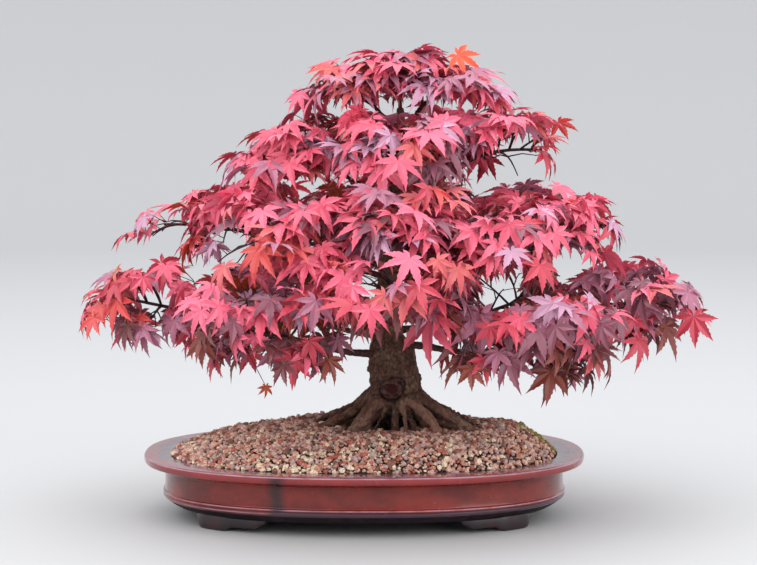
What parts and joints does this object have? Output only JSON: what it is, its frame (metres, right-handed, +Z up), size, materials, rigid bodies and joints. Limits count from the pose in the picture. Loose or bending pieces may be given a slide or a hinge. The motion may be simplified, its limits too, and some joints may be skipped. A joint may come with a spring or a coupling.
{
  "type": "potted maple bonsai tree",
  "caption": "Small maple tree with a flared trunk, tiers of red autumn leaves and gravel soil, in a shallow oval glazed pot on four feet.",
  "frame": {"origin": "point under the trunk at the level of the pot's feet, midway along the crown's width and depth", "axes": "+Z up the trunk, +X along the pot's long side, to the right seen from the front; the front faces -Y"},
  "size_m": [0.6567, 0.4727, 0.4941],
  "materials": {
    "glaze": "glossy oxblood glaze, paler on its edges",
    "gravel": "loose tan and terracotta grains",
    "bark": "rough dark fissured bark",
    "young_bark": "smoother brown-red bark",
    "foliage": "thin satin autumn leaves, pink to crimson"
  },
  "bodies": {
    "root": {"bough_back_low": "young_bark", "bough_back_mid": "young_bark", "bough_back_upper": "young_bark", "bough_front_low": "young_bark", "bough_front_mid": "young_bark", "bough_front_upper": "young_bark", "bough_left_back_low": "young_bark", "bough_left_back_mid": "young_bark", "bough_left_front_low": "young_bark", "bough_left_front_mid": "young_bark", "bough_left_low": "young_bark", "bough_left_mid": "young_bark", "bough_left_top": "young_bark", "bough_left_upper": "young_bark", "bough_right_back_low": "young_bark", "bough_right_back_mid": "young_bark", "bough_right_front_low": "young_bark", "bough_right_front_mid": "young_bark", "bough_right_low": "young_bark", "bough_right_mid": "young_bark", "bough_right_top": "young_bark", "bough_right_upper": "young_bark", "foliage_back_low": "foliage", "foliage_back_mid": "foliage", "foliage_back_upper": "foliage", "foliage_crest": "foliage", "foliage_front_low": "foliage", "foliage_front_mid": "foliage", "foliage_front_upper": "foliage", "foliage_left_back_low": "foliage", "foliage_left_back_mid": "foliage", "foliage_left_front_low": "foliage", "foliage_left_front_mid": "foliage", "foliage_left_low": "foliage", "foliage_left_mid": "foliage", "foliage_left_top": "foliage", "foliage_left_upper": "foliage", "foliage_right_back_low": "foliage", "foliage_right_back_mid": "foliage", "foliage_right_front_low": "foliage", "foliage_right_front_mid": "foliage", "foliage_right_low": "foliage", "foliage_right_mid": "foliage", "foliage_right_top": "foliage", "foliage_right_upper": "foliage", "pot": "glaze", "soil": "gravel", "trunk": "bark"}
  },
  "joints": []
}
